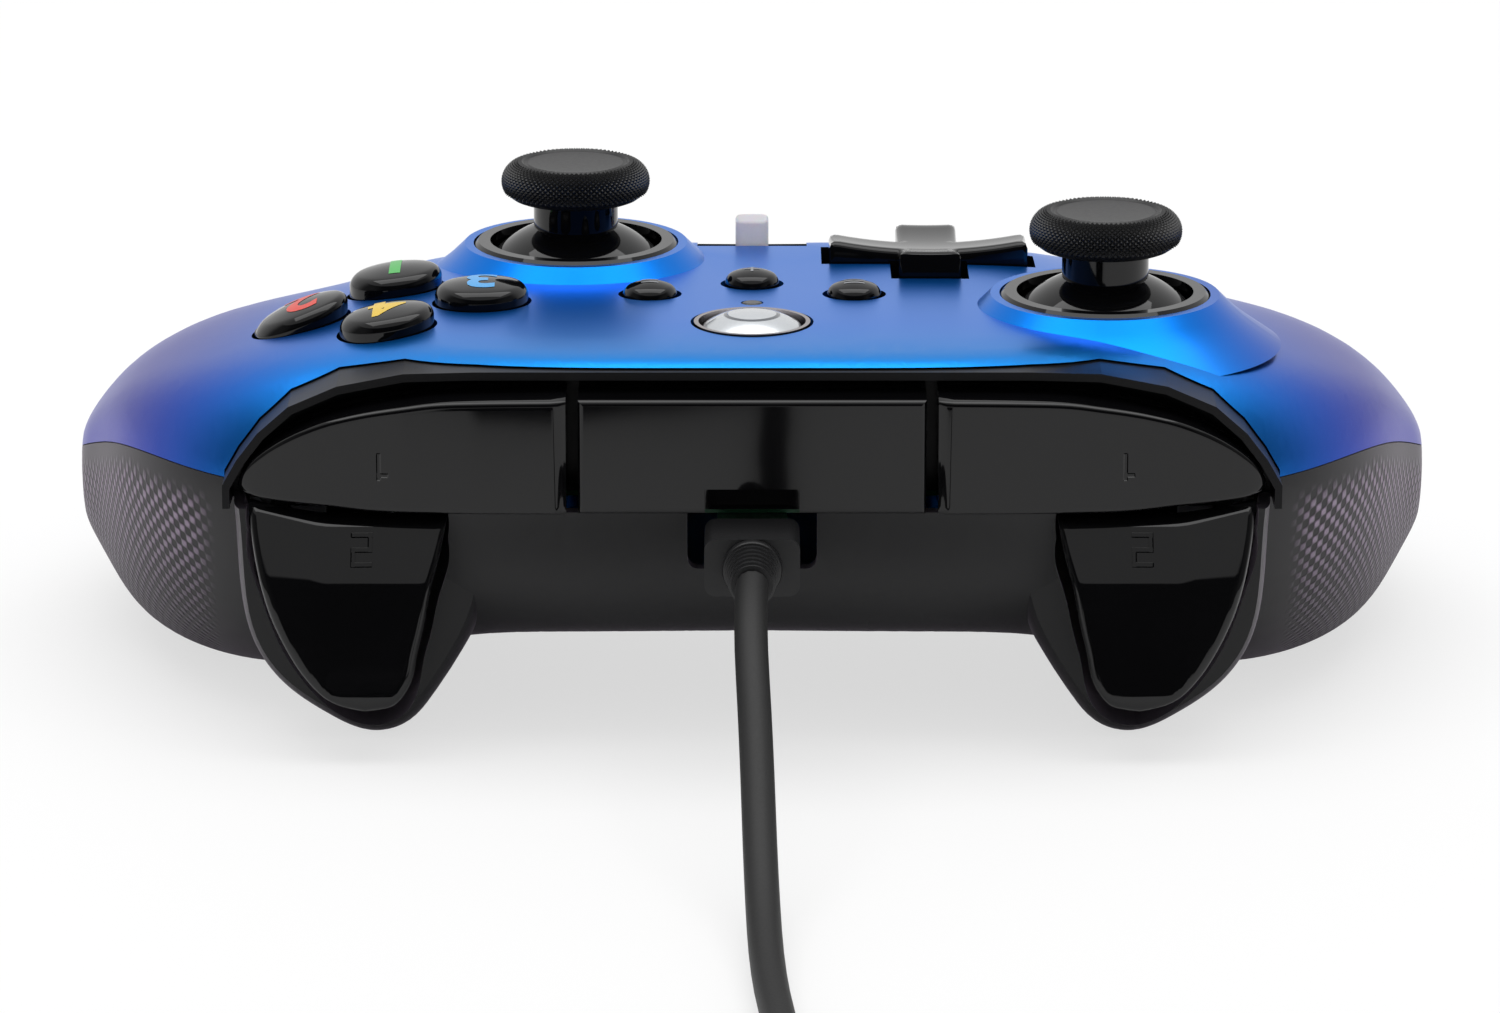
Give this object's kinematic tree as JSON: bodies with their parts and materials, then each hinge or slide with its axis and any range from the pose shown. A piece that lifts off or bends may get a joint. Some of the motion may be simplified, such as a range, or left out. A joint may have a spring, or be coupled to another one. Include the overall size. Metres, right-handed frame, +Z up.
{
  "type": "gamepad controller",
  "caption": "Wired gamepad with two offset thumb sticks, cross pad, face buttons, bumpers, swinging triggers, a rocking volume nub and a plug-in lead.",
  "frame": {"origin": "middle of the pad's outline in plan, on the surface that it rests on", "axes": "+X to the player's left hand, +Y towards the player, +Z up out of the face with the thumb sticks"},
  "size_m": [0.153, 0.3764, 0.0534],
  "materials": {
    "cover_paint": "satin pearl paint over plastic, blue running to violet",
    "grip_black": "satin black with a fine diamond texture on the grips",
    "gloss_black": "polished black",
    "inner_black": "plain black moulding",
    "bright_steel": "bright rolled steel",
    "board_green": "green solder mask",
    "weight_brass": "turned brass",
    "screw_steel": "blackened steel",
    "silicone": "grey silicone",
    "home_pearl": "pearl white dome",
    "ring_chrome": "bright plated ring",
    "light_lens": "smoked light pipe",
    "frosted_clear": "frosted clear plastic",
    "ring_black": "smooth black ring",
    "stick_rubber": "matt black rubber with a knurled rim",
    "stick_black": "smooth black",
    "cord_black": "smooth black cord jacket",
    "plug_black": "satin black",
    "tie_black": "black hook and loop strap"
  },
  "bodies": {
    "pad": {"front_cover": "cover_paint", "back_cover": "grip_black", "shoulder_bridge": "gloss_black", "bumper_frame": "inner_black", "trigger_pins": "bright_steel", "trigger_springs": "bright_steel", "bumper_switches": "inner_black", "main_board": "board_green", "usb_socket": "bright_steel", "headphone_socket": "inner_black", "rumble_motors": "bright_steel", "case_screws": "screw_steel", "face_button_mat": "silicone", "middle_button_mat": "silicone", "home_ring": "ring_chrome", "status_light": "light_lens", "dpad_cup": "inner_black", "volume_nub_holder": "inner_black", "left_stick_ring": "ring_black", "right_stick_ring": "ring_black", "left_stick_housing": "bright_steel", "right_stick_housing": "bright_steel", "plug_grip": "plug_black", "plug_tip": "bright_steel", "plug_boot": "cord_black", "lead_front": "cord_black", "lead_coil": "cord_black", "lead_tail": "cord_black", "lead_tie": "tie_black", "far_plug_grip": "plug_black", "far_plug_tip": "bright_steel"},
    "left_bumper": {"left_bumper": "gloss_black"},
    "right_bumper": {"right_bumper": "gloss_black"},
    "left_trigger": {"left_trigger": "gloss_black"},
    "right_trigger": {"right_trigger": "gloss_black"},
    "dpad_ring": {"dpad_gimbal": "inner_black"},
    "dpad": {"dpad_cap": "gloss_black"},
    "home_button": {"home_button": "home_pearl"},
    "volume_nub": {"volume_nub": "frosted_clear"},
    "left_rumble_weight": {"left_rumble_weight": "weight_brass"},
    "right_rumble_weight": {"right_rumble_weight": "weight_brass"},
    "left_stick_base": {"left_stick_carriage": "inner_black"},
    "left_stick_gimbal": {"left_stick_yoke": "inner_black"},
    "left_stick": {"left_stick_cap": "stick_rubber", "left_stick_stem": "stick_black", "left_stick_post": "inner_black"},
    "right_stick_base": {"right_stick_carriage": "inner_black"},
    "right_stick_gimbal": {"right_stick_yoke": "inner_black"},
    "right_stick": {"right_stick_cap": "stick_rubber", "right_stick_stem": "stick_black", "right_stick_post": "inner_black"},
    "face_button_top": {"face_button_top": "gloss_black"},
    "face_button_bottom": {"face_button_bottom": "gloss_black"},
    "face_button_left": {"face_button_left": "gloss_black"},
    "face_button_right": {"face_button_right": "gloss_black"},
    "small_button_left": {"small_button_left": "gloss_black"},
    "small_button_right": {"small_button_right": "gloss_black"},
    "small_button_middle": {"small_button_middle": "gloss_black"}
  },
  "joints": [
    {"name": "left_stick_click", "type": "slide", "parent": "pad", "child": "left_stick_base", "axis": [0, 0, -1], "range_m": [0, 0.0005], "stiffness_N_per_m": 2500, "springref_m": -0.0004},
    {"name": "left_stick_fore_aft", "type": "hinge", "parent": "left_stick_base", "child": "left_stick_gimbal", "pos_m": [0.0391, -0.0171, 0.0335], "axis": [1, 0, 0], "range_deg": [-15, 15], "stiffness_Nm_per_rad": 0.03},
    {"name": "left_stick_sideways", "type": "hinge", "parent": "left_stick_gimbal", "child": "left_stick", "pos_m": [0.0391, -0.0171, 0.0335], "axis": [0, 1, 0], "range_deg": [-15, 15], "stiffness_Nm_per_rad": 0.03},
    {"name": "right_stick_click", "type": "slide", "parent": "pad", "child": "right_stick_base", "axis": [0, 0, -1], "range_m": [0, 0.0005], "stiffness_N_per_m": 2500, "springref_m": -0.0004},
    {"name": "right_stick_fore_aft", "type": "hinge", "parent": "right_stick_base", "child": "right_stick_gimbal", "pos_m": [-0.0201, 0.0076, 0.0335], "axis": [1, 0, 0], "range_deg": [-15, 15], "stiffness_Nm_per_rad": 0.03},
    {"name": "right_stick_sideways", "type": "hinge", "parent": "right_stick_gimbal", "child": "right_stick", "pos_m": [-0.0201, 0.0076, 0.0335], "axis": [0, 1, 0], "range_deg": [-15, 15], "stiffness_Nm_per_rad": 0.03},
    {"name": "left_bumper_press", "type": "hinge", "parent": "pad", "child": "left_bumper", "pos_m": [0.0216, -0.0396, 0.033], "axis": [0, 0, 1], "range_deg": [0, 2], "stiffness_Nm_per_rad": 3, "springref_deg": -2.01},
    {"name": "right_bumper_press", "type": "hinge", "parent": "pad", "child": "right_bumper", "pos_m": [-0.0216, -0.0396, 0.033], "axis": [0, 0, -1], "range_deg": [0, 2], "stiffness_Nm_per_rad": 3, "springref_deg": -2.01},
    {"name": "left_trigger_pull", "type": "hinge", "parent": "pad", "child": "left_trigger", "pos_m": [0.0431, -0.033, 0.0216], "axis": [1, 0, 0], "range_deg": [0, 15], "stiffness_Nm_per_rad": 0.12, "springref_deg": -12.03},
    {"name": "right_trigger_pull", "type": "hinge", "parent": "pad", "child": "right_trigger", "pos_m": [-0.0431, -0.033, 0.0216], "axis": [1, 0, 0], "range_deg": [0, 15], "stiffness_Nm_per_rad": 0.12, "springref_deg": -12.03},
    {"name": "dpad_fore_aft", "type": "hinge", "parent": "pad", "child": "dpad_ring", "pos_m": [0.0201, 0.0089, 0.0338], "axis": [1, 0, 0], "range_deg": [-4, 4], "stiffness_Nm_per_rad": 0.2},
    {"name": "dpad_sideways", "type": "hinge", "parent": "dpad_ring", "child": "dpad", "pos_m": [0.0201, 0.0089, 0.0338], "axis": [0, 1, 0], "range_deg": [-4, 4], "stiffness_Nm_per_rad": 0.2},
    {"name": "face_button_top_press", "type": "slide", "parent": "pad", "child": "face_button_top", "axis": [0, 0, -1], "range_m": [0, 0.0012], "stiffness_N_per_m": 400, "springref_m": -0.0006},
    {"name": "face_button_bottom_press", "type": "slide", "parent": "pad", "child": "face_button_bottom", "axis": [0, 0, -1], "range_m": [0, 0.0012], "stiffness_N_per_m": 400, "springref_m": -0.0006},
    {"name": "face_button_left_press", "type": "slide", "parent": "pad", "child": "face_button_left", "axis": [0, 0, -1], "range_m": [0, 0.0012], "stiffness_N_per_m": 400, "springref_m": -0.0006},
    {"name": "face_button_right_press", "type": "slide", "parent": "pad", "child": "face_button_right", "axis": [0, 0, -1], "range_m": [0, 0.0012], "stiffness_N_per_m": 400, "springref_m": -0.0006},
    {"name": "small_button_left_press", "type": "slide", "parent": "pad", "child": "small_button_left", "axis": [0, 0, -1], "range_m": [0, 0.0006], "stiffness_N_per_m": 400, "springref_m": -0.0006},
    {"name": "small_button_right_press", "type": "slide", "parent": "pad", "child": "small_button_right", "axis": [0, 0, -1], "range_m": [0, 0.0006], "stiffness_N_per_m": 400, "springref_m": -0.0006},
    {"name": "small_button_middle_press", "type": "slide", "parent": "pad", "child": "small_button_middle", "axis": [0, 0, -1], "range_m": [0, 0.0006], "stiffness_N_per_m": 400, "springref_m": -0.0006},
    {"name": "home_button_press", "type": "slide", "parent": "pad", "child": "home_button", "axis": [0, 0, -1], "range_m": [0, 0.0005], "stiffness_N_per_m": 400, "springref_m": -0.0006},
    {"name": "volume_nub_rock", "type": "hinge", "parent": "pad", "child": "volume_nub", "pos_m": [0, 0.017, 0.0352], "axis": [0, 1, 0], "range_deg": [-8, 8], "stiffness_Nm_per_rad": 0.02},
    {"name": "left_rumble_spin", "type": "hinge", "parent": "pad", "child": "left_rumble_weight", "pos_m": [0.0575, 0.011, 0.0124], "axis": [0, 1, 0], "continuous": true},
    {"name": "right_rumble_spin", "type": "hinge", "parent": "pad", "child": "right_rumble_weight", "pos_m": [-0.0575, 0.011, 0.0124], "axis": [0, 1, 0], "continuous": true}
  ]
}
